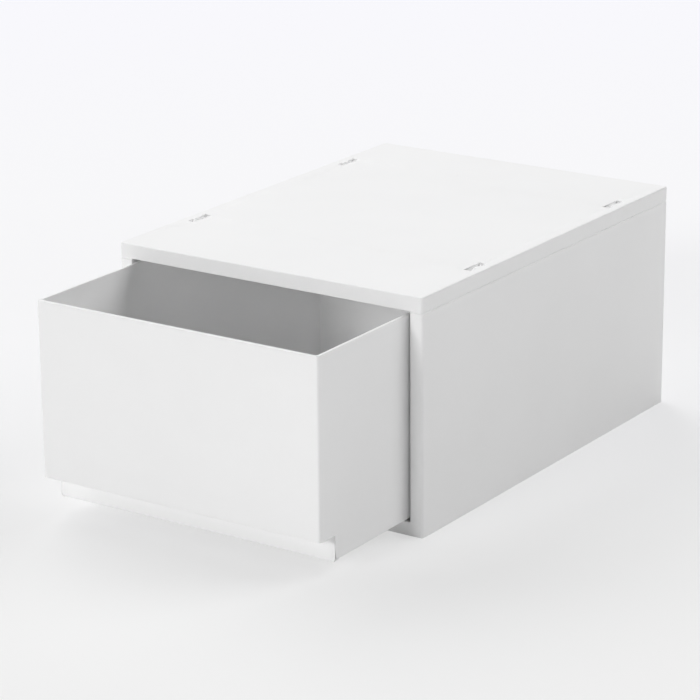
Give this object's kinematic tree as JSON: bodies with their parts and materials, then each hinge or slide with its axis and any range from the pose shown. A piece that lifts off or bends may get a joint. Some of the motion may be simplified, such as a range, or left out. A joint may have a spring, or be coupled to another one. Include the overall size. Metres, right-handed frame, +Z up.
{
  "type": "stackable drawer box",
  "caption": "Free-standing plastic case with a pull-out drawer, a finger pull under the drawer's front and a flat slotted top for stacking.",
  "frame": {"origin": "centre of the case's footprint, on the surface it stands on, halfway between its front and back faces", "axes": "+Z up; the drawer opens toward -Y; +X is on the right of someone who faces the drawer"},
  "size_m": [0.26, 0.459, 0.175],
  "materials": {
    "case_white": "fine satin moulded polypropylene, opaque white",
    "drawer_white": "fine satin moulded polypropylene, opaque white",
    "clip_white": "natural polypropylene, milky white"
  },
  "bodies": {
    "case": {"case_shell": "case_white", "top_plate": "case_white", "stacking_clip_front_left": "clip_white", "stacking_clip_front_right": "clip_white", "stacking_clip_rear_left": "clip_white", "stacking_clip_rear_right": "clip_white"},
    "drawer": {"drawer": "drawer_white"}
  },
  "joints": [
    {"name": "drawer_slide", "type": "slide", "parent": "case", "child": "drawer", "axis": [0, -1, 0], "range_m": [-0.109, 0.131]}
  ]
}
